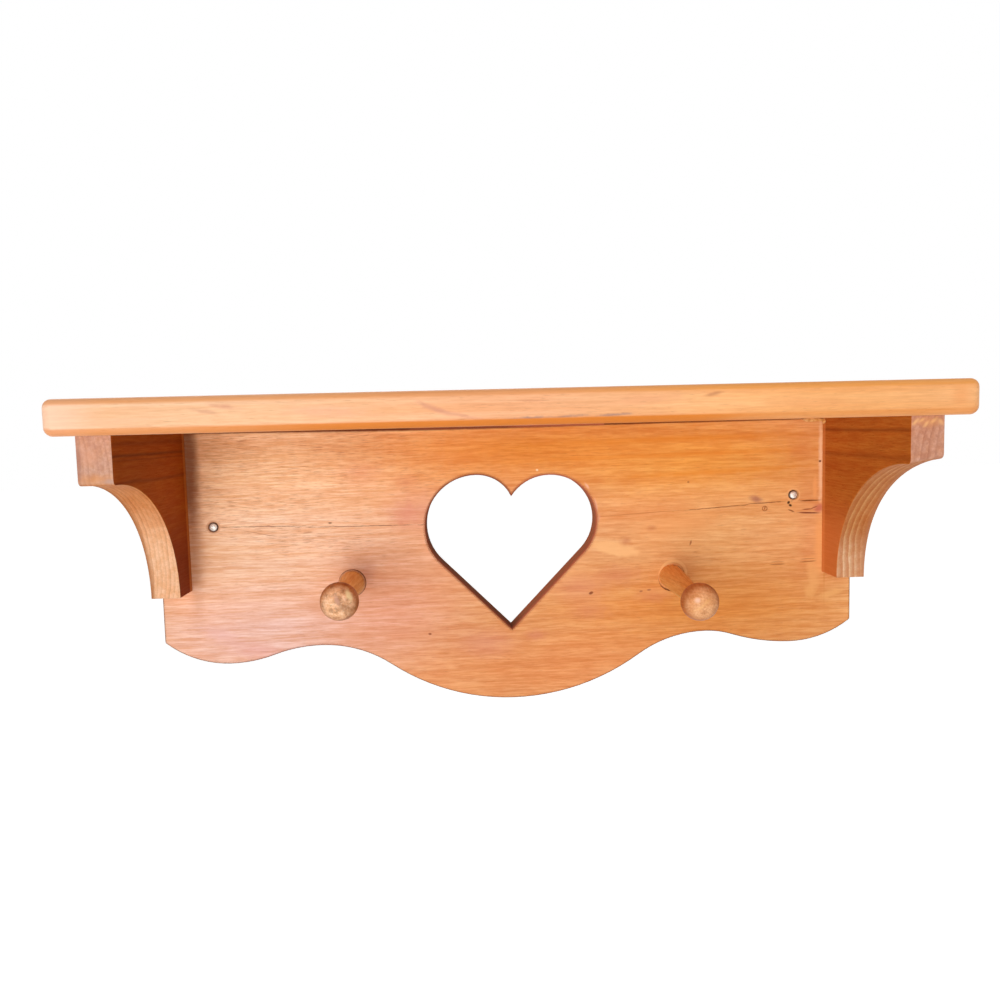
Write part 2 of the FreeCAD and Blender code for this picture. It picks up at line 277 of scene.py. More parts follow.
def addRings(tree, colour, place, wobble, rings, faceDepth):
    softness, raggedness = marking["ringSoftness"], marking["ringRaggedness"]
    for x, z, innerRadius, outerRadius, tint, strength in rings:
        halfSize = (outerRadius, marking["depth"], outerRadius)
        hollow = innerRadius / outerRadius
        mask = markMask(tree, place, wobble, (x, faceDepth, z), halfSize, 0, softness, raggedness, hollow)
        colour = mixed(tree, product(tree, mask, strength), colour, paint(tint))
    return colour


# Gives the place on the object, and the wood figure with its grain along X or along Y.
def woodBase(tree, look, poreDensity, alongY=False):
    place = surfacePlace(tree)
    grain = place
    if alongY:
        parts = parted(tree, place)
        grain = joined(tree, parts[1], parts[0], parts[2])
    figured = useGroup(tree, figure, {
        "Coordinates": grain,
        "Pith Across": look["pith"][0],
        "Pith Up": look["pith"][1],
        "Ring Spacing": look["ringSpacing"],
        "Wander": look["wander"],
        "Seed": look["seed"],
        "Pore Density": poreDensity,
    })
    return place, figured


# Each pair is what red, green and blue are multiplied by, where a figure is darkest and where it is lightest.
calmFibre = ((0.93, 0.90, 0.87), (1.05, 1.08, 1.10))
livelyFibre = ((0.90, 0.80, 0.72), (1.05, 1.16, 1.26))
stain = {
    "fibreRange": (0.32, 0.70),
    "cloudRange": (0.3, 0.7),
    "cloudTints": ((0.94, 0.94, 0.94), (1.05, 1.05, 1.05)),
    "streakRange": (0.34, 0.66),
    "streakTints": ((0.96, 0.90, 0.82), (1.02, 1.07, 1.12)),
}


# Multiplies a colour by a tint that runs with a value, from the darker to the lighter one.
def shaded(tree, colour, value, span, tints):
    tones = [ranged(tree, value, *span, dark, light) for dark, light in zip(*tints)]
    return mixed(tree, 1.0, colour, joined(tree, *tones), "MULTIPLY")


# Turns figure masks and a pair of colours into stained wood.
def stained(tree, figured, early, late, lateShare, poreTint, poreShare, fibreTints=calmFibre):
    lateAmount = calc(tree, "MULTIPLY", figured["Late Wood"], lateShare, clamp=True)
    colour = mixed(tree, lateAmount, early, late)
    colour = shaded(tree, colour, figured["Fibre"], stain["fibreRange"], fibreTints)
    colour = shaded(tree, colour, figured["Cloud"], stain["cloudRange"], stain["cloudTints"])
    colour = shaded(tree, colour, figured["Streaks"], stain["streakRange"], stain["streakTints"])
    return mixed(tree, product(tree, figured["Pores"], poreShare), colour, paint(poreTint))


wax = {
    "fibreRange": (0.2, 0.8),
    "fibreRoughness": (0.08, -0.06),
    "poreRoughness": 0.2,
    "sawnRoughness": 0.5,
    "fibreHeight": 0.5,
    "lateHeight": 0.35,
    "poreDepth": 0.8,
    "reliefDistance": 0.0004,
}


def woodFinish(tree, shader, figured, colour, look, sawn=0.0):
    roughAt = [look["roughness"] + change for change in wax["fibreRoughness"]]
    rough = ranged(tree, figured["Fibre"], *wax["fibreRange"], *roughAt)
    rough = calc(tree, "MULTIPLY_ADD", figured["Pores"], wax["poreRoughness"], rough)
    rough = calc(tree, "MULTIPLY_ADD", sawn, wax["sawnRoughness"], rough, clamp=True)
    lateHeight = product(tree, figured["Late Wood"], wax["lateHeight"])
    height = calc(tree, "MULTIPLY_ADD", figured["Fibre"], wax["fibreHeight"], lateHeight)
    height = calc(tree, "SUBTRACT", height, product(tree, figured["Pores"], wax["poreDepth"]))
    reliefInputs = {"Height": height, "Strength": look["relief"], "Distance": wax["reliefDistance"]}
    tree.links.new(colour, shader.inputs["Base Color"])
    tree.links.new(rough, shader.inputs["Roughness"])
    tree.links.new(put(tree, "ShaderNodeBump", reliefInputs).outputs[0], shader.inputs["Normal"])
    shader.inputs["Specular IOR Level"].default_value = look["specular"]


shelfBoard = {
    "faceDepth": -0.164,
    "early": (249, 190, 142),
    "late": (226, 150, 96),
    "topRange": (0.9, 0.99),  # how far up a place has to look to be the top, where the late wood shows more
    "lateShares": (0.3, 0.65),
    "ringSpacing": 0.0052,
    "wander": 0.010,  # how far the rings bend
    "pith": (0.031, 0.128),
    "seed": 3.0,
    "poreDensity": 0.6,
    "pores": ((160, 96, 60), 0.4),
    "flatRange": (1.0, 0.985),  # the flat top and underside keep no rim colour
    "topRim": (226, 148, 84),
    "topRimRight": (228, 144, 40),
    "topRimTurn": (-0.02, 0.12),
    "topRimFade": (0.10, 0.5),
    "topRimShare": 0.7,
    "bottomRim": (220, 124, 26),
    "bottomRimFade": (0.06, 0.35),
    "bottomRimAlong": ((-0.200, -0.080, 0.62, 0.95), (0.085, 0.150, 1.0, 0.4)),
    "roughness": 0.46,
    "relief": 0.1,
    "specular": 0.32,
    "tints": [  # under the grain
        (-0.170, 0.0095, 0.110, 0.030, 0, 1.0, 0.2, (252, 206, 168), 0.8),
        (0.000, 0.0095, 0.090, 0.030, 0, 1.0, 0.2, (246, 176, 130), 0.75),
        (0.170, 0.0095, 0.120, 0.030, 0, 1.0, 0.2, (250, 178, 108), 0.8),
    ],
    "marks": [  # over the grain
        (-0.1500, 0.0130, 0.0080, 0.0011, -8, 1.0, 1.3, (206, 134, 108), 0.6),
        (-0.1585, 0.0107, 0.0065, 0.0011, -12, 1.0, 1.3, (204, 138, 110), 0.5),
        (-0.0450, 0.0100, 0.0095, 0.0014, -22, 1.0, 1.2, (208, 138, 112), 0.6),
        (-0.0330, 0.0064, 0.0150, 0.0011, -13, 1.0, 1.2, (212, 142, 118), 0.5),
        (0.0040, 0.0036, 0.0100, 0.0008, 1, 1.0, 2.4, (150, 124, 122), 0.85),
        (0.0240, 0.0040, 0.0090, 0.0007, 3, 1.0, 2.4, (162, 124, 112), 0.75),
        (0.0485, 0.0044, 0.0080, 0.0007, 2, 1.0, 2.4, (152, 120, 114), 0.75),
        (0.0050, 0.0126, 0.0085, 0.0005, -1, 0.8, 0.8, (206, 130, 84), 0.6),
        (0.1000, 0.0138, 0.0050, 0.0010, 8, 0.9, 0.7, (184, 112, 72), 0.6),
        (-0.1000, 0.0095, 0.0200, 0.0030, -3, 1.0, 1.2, (240, 174, 146), 0.4),
        (0.0650, 0.0120, 0.0180, 0.0026, 2, 1.0, 1.2, (236, 162, 122), 0.4),
        (0.1500, 0.0080, 0.0220, 0.0030, -2, 1.0, 1.2, (238, 158, 98), 0.4),
        (-0.2050, 0.0065, 0.0160, 0.0024, 4, 1.0, 1.2, (244, 184, 148), 0.4),
        (0.2300, 0.0100, 0.0050, 0.0050, 0, 0.9, 0.5, (240, 156, 92), 0.5),
        (-0.2380, 0.0095, 0.0200, 0.0200, 0, 1.0, 0.3, (255, 212, 188), 0.6),
    ],
}


def makeShelfWood():
    look = shelfBoard
    material, tree, shader = newMaterial("shelfWood")
    place, figured = woodBase(tree, look, look["poreDensity"])
    wobble = raggedEdges(tree, place)
    face = useGroup(tree, facing)
    along = parted(tree, place)[0]

    def rimBand(way, fade):
        return product(tree, ranged(tree, way, *fade), ranged(tree, way, *look["flatRange"]))

    colour = addMarks(tree, paint(look["early"]), place, wobble, look["tints"], look["faceDepth"])
    lateShare = ranged(tree, face["Up"], *look["topRange"], *look["lateShares"])
    colour = stained(tree, figured, colour, paint(look["late"]), lateShare, *look["pores"])
    colour = addMarks(tree, colour, place, wobble, look["marks"], look["faceDepth"])
    rightward = ranged(tree, along, *look["topRimTurn"])
    headRimShade = mixed(tree, rightward, paint(look["topRim"]), paint(look["topRimRight"]))
    rim = product(tree, rimBand(face["Up"], look["topRimFade"]), look["topRimShare"])
    colour = mixed(tree, rim, colour, headRimShade)
    rim = rimBand(face["Down"], look["bottomRimFade"])
    for fade in look["bottomRimAlong"]:
        rim = product(tree, rim, ranged(tree, along, *fade))
    colour = mixed(tree, rim, colour, paint(look["bottomRim"]))
    woodFinish(tree, shader, figured, colour, look)
    return material


backBoard = {
    "faceDepth": -0.019,
    "early": (243, 178, 124),
    "late": (208, 118, 60),
    "lateShare": 0.42,
    "ringSpacing": 0.0062,
    "wander": 0.014,
    "pith": (0.084, -0.060),
    "seed": 11.0,
    "pores": ((160, 82, 46), 0.4),
    "denseMiddle": (-0.150, -0.019, -0.030),  # the pores stand closer together here
    "denseHalfSize": (0.140, 0.02, 0.070),
    "denseRaggedness": 0.2,
    "denseFrom": 0.62,
    "denseTo": 1.25,
    "heartReach": 0.066,  # the heart's area, as a half width and a lower limit
    "heartFoot": -0.1435,
    "heartTurn": (-0.004, 0.012),  # where the heart's colours change from the left ones to the right ones
    "heartWall": (108, 46, 14),
    "heartWallRight": (172, 94, 60),
    "heartLip": (142, 76, 50),
    "heartLipRight": (178, 100, 72),
    "heartLipRange": (0.008, 0.035),
    "sawnEdge": (170, 92, 46),
    "sawnLate": (70, 26, 12),
    "sawnLateShare": 0.5,
    "sawnFade": (0.06, 0.4),
    "sawnShare": 0.92,
    "edgeRadius": 0.0036,
    # dark stain with painted shade on the eased front edges
    "lip": (108, 56, 32),
    "lipRange": (0.30, 0.65),
    "frontDepths": (-0.0150, -0.0165),  # the dark lips are at the front only
    "lipShare": 0.9,
    "arrisDepths": (-0.01899, -0.01893),  # the easing just behind the front face
    "arrisShare": 0.9,
    "rawBack": (252, 212, 168),
    "rawBackLate": (224, 164, 112),
    "rawLateShare": 0.8,
    "rawPores": ((160, 104, 64), 0.4),
    "rawFade": (0.6, 0.95),
    "roughness": 0.56,
    "relief": 0.14,
    "specular": 0.12,
    "tints": [  # under the grain
        (-0.170, -0.040, 0.100, 0.065, 0, 1.0, 0.2, (250, 209, 168), 0.9),
        (-0.140, -0.080, 0.090, 0.040, 0, 1.0, 0.2, (254, 214, 187), 0.8),
        (-0.175, -0.140, 0.090, 0.038, 0, 1.0, 0.2, (251, 207, 197), 0.85),
        (-0.080, -0.125, 0.055, 0.050, 20, 1.0, 0.3, (241, 170, 144), 0.7),
        (0.020, -0.016, 0.120, 0.024, 0, 1.0, 0.3, (230, 146, 62), 0.95),
        (0.140, -0.028, 0.100, 0.034, 0, 1.0, 0.3, (246, 170, 76), 0.9),
        (0.158, -0.075, 0.078, 0.031, 0, 1.0, 0.3, (255, 192, 127), 0.9),
        (0.140, -0.130, 0.120, 0.036, 0, 1.0, 0.3, (236, 152, 70), 0.85),
        (0.020, -0.170, 0.110, 0.032, 0, 1.0, 0.3, (233, 148, 90), 0.75),
    ],
    "marks": [  # over the grain
        (0.0730, -0.0866, 0.0175, 0.0050, -12, 0.35, 0.45, (255, 200, 140), 0.8),
        (-0.0600, -0.0560, 0.0240, 0.0140, 0, 1.0, 0.6, (226, 150, 138), 0.4),
        (-0.1000, -0.0300, 0.0140, 0.0080, 0, 1.0, 0.8, (224, 140, 108), 0.35),
        (-0.1750, -0.1500, 0.0180, 0.0060, -8, 1.0, 0.8, (230, 160, 158), 0.35),
        (0.1000, -0.0600, 0.0300, 0.0100, 4, 1.0, 0.7, (228, 142, 84), 0.35),
        (0.1750, -0.0820, 0.0200, 0.0140, 0, 1.0, 0.7, (222, 138, 92), 0.2),
        (-0.0180, -0.1500, 0.0200, 0.0100, 0, 1.0, 0.5, (222, 146, 128), 0.4),
        (0.0480, -0.1130, 0.0180, 0.0100, 0, 1.0, 0.5, (222, 140, 116), 0.4),
        (0.1200, -0.0120, 0.0900, 0.0022, 1, 0.9, 0.8, (226, 134, 34), 0.5),
        (0.1000, -0.0230, 0.1000, 0.0018, 1, 0.9, 0.8, (230, 138, 42), 0.45),
        (0.1450, -0.0350, 0.0600, 0.0020, 2, 0.8, 0.6, (232, 142, 44), 0.5),
        (0.1180, -0.0710, 0.0300, 0.0080, 8, 0.9, 0.5, (248, 172, 106), 0.5),
        (-0.1995, -0.1385, 0.0130, 0.0050, -18, 1.0, 0.9, (234, 182, 186), 0.35),
        (-0.0450, -0.0720, 0.0140, 0.0180, 0, 1.0, 0.6, (240, 156, 126), 0.5),
        (0.2075, -0.0640, 0.0085, 0.0480, 0, 1.0, 0.9, (214, 130, 84), 0.2),
        (0.2160, -0.0300, 0.0016, 0.0330, 0, 0.7, 1.3, (250, 208, 168), 0.85),
        (0.2155, -0.0860, 0.0036, 0.0240, 0, 0.7, 1.0, (248, 184, 116), 0.75),
        (0.2120, -0.0480, 0.0016, 0.0080, 0, 0.6, 0.7, (246, 178, 112), 0.8),
        (0.2110, -0.1070, 0.0042, 0.0130, 8, 0.6, 1.0, (246, 182, 116), 0.65),
        (0.2230, -0.1225, 0.0090, 0.0024, 14, 0.6, 1.0, (248, 184, 116), 0.7),
        (0.2090, -0.1200, 0.0040, 0.0050, 20, 0.6, 1.0, (246, 182, 114), 0.6),
        # Painted shadow of the left bracket on the board, darkest at the top under the shelf
        (-0.2145, -0.0500, 0.0060, 0.0620, 0, 1.0, 0.4, (158, 90, 54), 0.6),
        (-0.2162, -0.0190, 0.0076, 0.0420, 0, 0.6, 0.5, (112, 58, 28), 0.68),
        (0.2190, -0.0600, 0.0009, 0.0600, 0, 0.6, 0.6, (216, 136, 66), 0.6),
        (-0.1640, -0.0643, 0.0340, 0.00032, -0.8, 0.6, 2.6, (134, 72, 44), 0.75),
        (-0.1020, -0.0658, 0.0440, 0.00032, -0.3, 0.6, 2.6, (134, 72, 44), 0.75),
        (-0.2070, -0.0634, 0.0080, 0.00040, 0, 0.5, 0.7, (250, 200, 160), 0.7),
        (-0.1700, -0.0690, 0.0130, 0.00030, -12, 0.6, 0.9, (166, 94, 60), 0.5),
        (0.1450, -0.0598, 0.0260, 0.00034, 3.6, 0.5, 2.4, (126, 62, 32), 0.75),
        (0.1780, -0.0575, 0.0130, 0.00036, 2.0, 0.5, 2.4, (120, 56, 28), 0.8),
        (0.2085, -0.0568, 0.0080, 0.00055, 1.0, 0.5, 0.7, (112, 56, 10), 0.85),
        (0.0900, -0.0625, 0.0360, 0.00026, 3, 0.6, 0.9, (186, 104, 56), 0.5),
        (0.2150, -0.0622, 0.0038, 0.0030, 15, 0.8, 0.6, (198, 104, 92), 0.75),
        (0.1955, -0.0636, 0.0024, 0.0005, -22, 0.5, 0.5, (130, 62, 38), 0.8),
        (0.2075, -0.0653, 0.0078, 0.00060, -3, 0.5, 0.6, (116, 48, 38), 0.85),
        (0.2068, -0.0628, 0.0036, 0.00050, 3, 0.5, 0.6, (140, 66, 40), 0.8),
        (0.2115, -0.0618, 0.0028, 0.00045, 22, 0.5, 0.6, (150, 76, 50), 0.7),
        (0.1936, -0.0579, 0.0012, 0.0009, 50, 0.4, 0.4, (66, 40, 22), 0.95),
        (0.1948, -0.0598, 0.0012, 0.0009, -20, 0.4, 0.4, (66, 40, 22), 0.95),
        (0.1960, -0.0569, 0.0009, 0.0006, 10, 0.4, 0.4, (86, 48, 30), 0.85),
        (0.1708, -0.0548, 0.0046, 0.0024, -15, 0.8, 0.7, (172, 106, 92), 0.75),
        (0.1860, -0.1008, 0.0056, 0.00045, 0, 0.4, 0.6, (160, 88, 44), 0.75),
        (0.1860, -0.0992, 0.0050, 0.00035, 0, 0.4, 0.6, (170, 98, 52), 0.6),
        (0.2075, -0.0995, 0.0056, 0.00045, 2, 0.4, 0.6, (160, 88, 44), 0.75),
        (0.2075, -0.0976, 0.0052, 0.00035, 2, 0.4, 0.6, (170, 98, 52), 0.6),
        (0.0552, -0.1170, 0.0017, 0.0010, 20, 0.4, 0.5, (128, 62, 34), 0.85),
        (-0.0569, -0.1421, 0.0011, 0.0008, 0, 0.4, 0.5, (150, 76, 50), 0.8),
        (0.0195, -0.0308, 0.0009, 0.0008, 0, 0.4, 0.5, (255, 226, 190), 0.9),
        (-0.1223, -0.0631, 0.0012, 0.0005, 0, 0.4, 0.5, (110, 60, 34), 0.8),
        (0.2155, -0.0297, 0.0010, 0.0008, 0, 0.4, 0.5, (104, 44, 20), 0.85),
        (0.0535, -0.0425, 0.0009, 0.0026, 32, 0.8, 1.6, (250, 204, 178), 0.8),
        (0.0597, -0.0560, 0.0008, 0.0046, 12, 0.8, 1.8, (246, 188, 164), 0.75),
        (0.0612, -0.0650, 0.0010, 0.0030, -8, 0.8, 1.6, (240, 170, 142), 0.7),
        (0.0440, -0.0930, 0.0080, 0.0005, 40, 0.5, 0.9, (250, 180, 146), 0.6),
        # Painted shadow of the left peg, up and to its right
        (-0.0985, -0.0975, 0.0060, 0.0075, -40, 1.0, 0.5, (196, 128, 112), 0.35),
        (0.1769, -0.0612, 0.0016, 0.0006, 70, 0.6, 1.0, (150, 80, 42), 0.7),
        (0.1250, -0.0839, 0.0007, 0.0018, -18, 0.6, 1.2, (168, 96, 60), 0.8),
        (0.1237, -0.0418, 0.0009, 0.0007, 0, 0.5, 0.6, (168, 94, 48), 0.7),
        (0.0902, -0.1168, 0.0012, 0.0007, 10, 0.6, 0.8, (160, 88, 66), 0.7),
        (0.0958, -0.1160, 0.0014, 0.0007, 0, 0.6, 0.8, (160, 88, 66), 0.7),
        (0.0982, -0.0729, 0.0036, 0.0018, 0, 1.0, 1.0, (206, 124, 80), 0.5),
        (0.0796, -0.0817, 0.0040, 0.0034, -10, 1.0, 1.0, (206, 124, 84), 0.5),
        (0.0742, -0.1050, 0.0150, 0.0070, 0, 1.0, 1.2, (216, 134, 104), 0.4),
        (0.0980, -0.1200, 0.0120, 0.0050, 0, 1.0, 1.2, (214, 130, 98), 0.4),
        (0.0540, -0.1290, 0.0130, 0.0060, 0, 1.0, 1.2, (218, 136, 108), 0.35),
        (0.0162, -0.1452, 0.0070, 0.0040, 0, 1.0, 1.2, (218, 134, 110), 0.45),
        (-0.0715, -0.0590, 0.0090, 0.0080, 0, 1.0, 1.2, (226, 144, 126), 0.45),
        (-0.0707, -0.0359, 0.0080, 0.0050, 0, 1.0, 1.2, (222, 138, 100), 0.4),
        (0.2014, -0.0217, 0.0090, 0.0060, 0, 1.0, 1.0, (214, 126, 68), 0.4),
        # Painted shade along the board's top edge, under the shelf
        (0.0000, -0.0002, 0.2375, 0.0012, 0, 0.4, 0.3, (122, 56, 20), 0.85),
        (-0.0400, -0.0002, 0.1300, 0.0019, 0, 0.5, 0.2, (96, 42, 14), 0.9),
    ],
    "rings": [
        (0.1769, -0.0616, 0.0013, 0.0020, (160, 88, 46), 0.65),
        (-0.1090, -0.1050, 0.0078, 0.0092, (252, 196, 154), 0.75),
        (0.1114, -0.1071, 0.0078, 0.0093, (252, 190, 128), 0.9),
        (0.1128, -0.1050, 0.0080, 0.0098, (252, 196, 132), 0.7),
        (0.1970, -0.0526, 0.0034, 0.0050, (248, 186, 126), 0.75),
        (-0.2009, -0.06376, 0.0034, 0.0048, (226, 168, 130), 0.6),
    ],
}


def makeBoardWood():
    look = backBoard
    depth = look["faceDepth"]
    material, tree, shader = newMaterial("boardWood")
    area = surfacePlace(tree)
    wobble = raggedEdges(tree, area)
    denseArea = (look["denseMiddle"], look["denseHalfSize"])
    dense = markMask(tree, area, wobble, *denseArea, 0, 1.0, look["denseRaggedness"])
    density = ranged(tree, dense, 0.0, 1.0, look["denseFrom"], look["denseTo"])
    place, figured = woodBase(tree, look, density)
    face = useGroup(tree, facing, {"Edge Radius": look["edgeRadius"]})
    colour = addMarks(tree, paint(look["early"]), place, wobble, look["tints"], depth)
    late = paint(look["late"])
    colour = stained(tree, figured, colour, late, look["lateShare"], *look["pores"], livelyFibre)
    colour = addMarks(tree, colour, place, wobble, look["marks"], depth)

    parts = parted(tree, place)
    nearMiddle = calc(tree, "LESS_THAN", calc(tree, "ABSOLUTE", parts[0]), look["heartReach"])
    inHeart = product(tree, nearMiddle, calc(tree, "GREATER_THAN", parts[2], look["heartFoot"]))
    rightward = ranged(tree, parts[0], *look["heartTurn"])
    wallColour = mixed(tree, rightward, paint(look["heartWall"]), paint(look["heartWallRight"]))
    sawnColour = mixed(tree, inHeart, paint(look["sawnEdge"]), wallColour)
    lateAmount = product(tree, figured["Late Wood"], look["sawnLateShare"])
    sawnColour = mixed(tree, lateAmount, sawnColour, paint(look["sawnLate"]))
    flat = calc(tree, "ADD", face["Front"], face["Back"])
    sawn = calc(tree, "SUBTRACT", 1.0, flat, clamp=True)
    sawnMask = product(tree, ranged(tree, sawn, *look["sawnFade"]), look["sawnShare"])
    colour = mixed(tree, sawnMask, colour, sawnColour)

    # The lips of the front edges and the arris behind them are painted dark: a stain soaked into the eased
    # edges, and along the board's outline also painted shade where the arris turns away from the light
    heartLip = mixed(tree, rightward, paint(look["heartLip"]), paint(look["heartLipRight"]))
    lipColour = mixed(tree, inHeart, paint(look["lip"]), heartLip)
    onFront = ranged(tree, parts[1], *look["frontDepths"])
    heartLipWide = product(tree, ranged(tree, face["Edge"], *look["heartLipRange"]), inHeart)
    toneMask = calc(tree, "ADD", heartLipWide, ranged(tree, face["Edge"], *look["lipRange"]), clamp=True)
    toneMask = product(tree, product(tree, toneMask, onFront), look["lipShare"])
    colour = mixed(tree, toneMask, colour, lipColour)
    arris = product(tree, ranged(tree, parts[1], *look["arrisDepths"]), onFront)
    colour = mixed(tree, product(tree, arris, look["arrisShare"]), colour, lipColour)
    colour = addRings(tree, colour, place, wobble, look["rings"], depth)

    rawEarly, rawLate = paint(look["rawBack"]), paint(look["rawBackLate"])
    raw = stained(tree, figured, rawEarly, rawLate, look["rawLateShare"], *look["rawPores"])
    colour = mixed(tree, ranged(tree, face["Back"], *look["rawFade"]), colour, raw)
    woodFinish(tree, shader, figured, colour, look, sawn)
    return material


bracketWood = {  # what both brackets share
    "wander": 0.006,
    "poreDensity": 0.5,
    "edgeRadius": 0.0010,
    "sideLateShare": 0.45,
    "sidePores": ((60, 20, 4), 0.4),
    "innerLowRange": (-0.045, -0.085),
    "bandWaver": 0.006,
    "jointDepths": (-0.0246, -0.0226),  # a paler line where the bracket meets the board
    "sawnLateShare": 0.9,
    "sawnPores": ((150, 92, 54), 0.25),
    "outerRange": (0.2326, 0.2352),
    "endLateShare": 0.7,
    "endPores": ((150, 92, 70), 0.3),
    "mottleNoise": (260.0, 3.0, 0.6),
    "mottleRange": (0.42, 0.70, 0.0, 0.65),
    "endDepth": -0.138,
    "endDepths": (-0.1360, -0.1378),  # where the front block's end grain starts
    "sideFade": (0.35, 0.75),
    "edgeFade": (0.10, 0.55),
    "edgeShare": 0.35,
    "roughness": 0.6,
    "relief": 0.14,
    "specular": 0.12,
}
leftBracket = {
    # The side colours are stain with painted shade: the left bracket's inner face looks away from the light,
    # so its sides are painted darker than the right bracket's
    "early": (158, 76, 0),
    "late": (108, 44, 0),
    "innerLow": (116, 38, 0),
    "innerLowShare": 0.8,
    "sideBands": [  # height, half height, strength
        (-0.0118, 0.0017, 0.6),
        (-0.0145, 0.0010, 0.35),
        (-0.0270, 0.0018, 0.4),
        (-0.0050, 0.0022, 0.3),
    ],
    "bandColour": (78, 22, 0),
    "jointColour": (196, 118, 54),
    "jointShare": 0.6,
    "sawnEarly": (248, 195, 155),
    "sawnLate": (190, 126, 84),
    # the cove's painted shade, darkest at its top
    "coveTopShade": (216, 178, 134),
    "coveShadeRange": (-0.078, -0.036),
    "outerEdge": (160, 98, 54),
    "outerShare": 0.7,
    "endGrain": (216, 169, 146),
    "endLate": (172, 114, 92),
    "endMottle": (186, 134, 114),
    "ringSpacing": 0.0027,
    "pith": (-0.560, -0.050),
    "seed": 21.0,
    "marks": [
        (-0.2200, -0.0245, 0.0045, 0.0014, 0, 0.7, 0.6, (180, 168, 172), 0.55),
        (-0.2270, -0.0235, 0.0100, 0.0030, 0, 1.0, 1.2, (222, 152, 92), 0.6),
        (-0.2300, -0.0110, 0.0050, 0.0060, 30, 1.0, 1.2, (226, 168, 140), 0.5),
        (-0.2350, -0.0150, 0.0012, 0.0120, 0, 0.8, 1.0, (150, 96, 84), 0.5),
    ],
}
rightBracket = {
    "early": (188, 108, 38),
    "late": (134, 56, 12),
    "innerLow": (226, 136, 76),
    "innerLowShare": 0.6,
    "sideBands": [(-0.0080, 0.0020, 0.5), (-0.0240, 0.0030, 0.3)],
    "bandColour": (112, 42, 6),
    "jointColour": (226, 150, 88),
    "jointShare": 0.5,
    "sawnEarly": (212, 148, 106),
    "sawnLate": (254, 223, 184),
    # the cove's painted shade, darkest at its top
    "coveTopShade": (228, 196, 154),
    "coveShadeRange": (-0.096, -0.070),
    "outerEdge": (186, 128, 96),
    "outerShare": 0.5,
    "endGrain": (217, 163, 138),
    "endLate": (172, 108, 84),
    "endMottle": (184, 124, 100),
    "ringSpacing": 0.0038,
    "pith": (0.700, -0.085),
    "seed": 33.0,
    "marks": [
        (0.2270, -0.0034, 0.0105, 0.0028, 0, 0.8, 1.0, (220, 158, 110), 0.65),
        (0.2196, -0.0034, 0.0026, 0.0009, 42, 0.8, 1.2, (242, 198, 142), 0.8),
        (0.2232, -0.0024, 0.0022, 0.0008, 30, 0.8, 1.2, (240, 192, 134), 0.75),
        (0.2258, -0.0044, 0.0024, 0.0009, 52, 0.8, 1.2, (242, 196, 140), 0.75),
        (0.2300, -0.0028, 0.0024, 0.0010, 38, 0.8, 1.2, (238, 190, 132), 0.75),
        (0.2338, -0.0036, 0.0014, 0.0020, 40, 0.8, 1.4, (238, 190, 138), 0.7),
    ],
}


def makeBracketWood(name, own):
    look = {**bracketWood, **own}
    material, tree, shader = newMaterial(name)
    place, figured = woodBase(tree, look, look["poreDensity"], True)
    wobble = raggedEdges(tree, place)
    face = useGroup(tree, facing, {"Edge Radius": look["edgeRadius"]})
    parts = parted(tree, place)

    def shadesOf(early, late, lateShare, pores, fibreTints=calmFibre):
        tones = paint(look[early]), paint(look[late])
        return stained(tree, figured, *tones, look[lateShare], *look[pores], fibreTints)

    side = shadesOf("early", "late", "sideLateShare", "sidePores", livelyFibre)
    low = ranged(tree, parts[2], *look["innerLowRange"], 0.0, look["innerLowShare"])
    side = mixed(tree, low, side, paint(look["innerLow"]))
    waver = product(tree, calc(tree, "SUBTRACT", figured["Cloud"], 0.5), look["bandWaver"])
    height = calc(tree, "ADD", parts[2], waver)
    for level, halfHeight, strength in look["sideBands"]:
        apart = calc(tree, "ABSOLUTE", calc(tree, "SUBTRACT", height, level))
        band = product(tree, ranged(tree, apart, 0.0, halfHeight, 1.0, 0.0), strength)
        side = mixed(tree, band, side, paint(look["bandColour"]))
    joint = product(tree, ranged(tree, parts[1], *look["jointDepths"]), look["jointShare"])
    side = mixed(tree, joint, side, paint(look["jointColour"]))

    sawn = shadesOf("sawnEarly", "sawnLate", "sawnLateShare", "sawnPores")
    # The cove is painted darker towards its top, as shade
    sawn = mixed(tree, ranged(tree, parts[2], *look["coveShadeRange"]), sawn, paint(look["coveTopShade"]), "MULTIPLY")
    outer = ranged(tree, calc(tree, "ABSOLUTE", parts[0]), *look["outerRange"])
    sawn = mixed(tree, product(tree, outer, look["outerShare"]), sawn, paint(look["outerEdge"]))

    ends = shadesOf("endGrain", "endLate", "endLateShare", "endPores")
    mottle = speckle(tree, place, *look["mottleNoise"])[0]
    ends = mixed(tree, ranged(tree, mottle, *look["mottleRange"]), ends, paint(look["endMottle"]))
    ends = addMarks(tree, ends, place, wobble, look["marks"], look["endDepth"])

    sawn = mixed(tree, ranged(tree, parts[1], *look["endDepths"]), sawn, ends)
    colour = mixed(tree, ranged(tree, face["Across"], *look["sideFade"]), sawn, side)
    edge = product(tree, ranged(tree, face["Edge"], *look["edgeFade"]), look["edgeShare"])
    colour = mixed(tree, edge, colour, paint(look["bandColour"]))
    woodFinish(tree, shader, figured, colour, look)
    return material


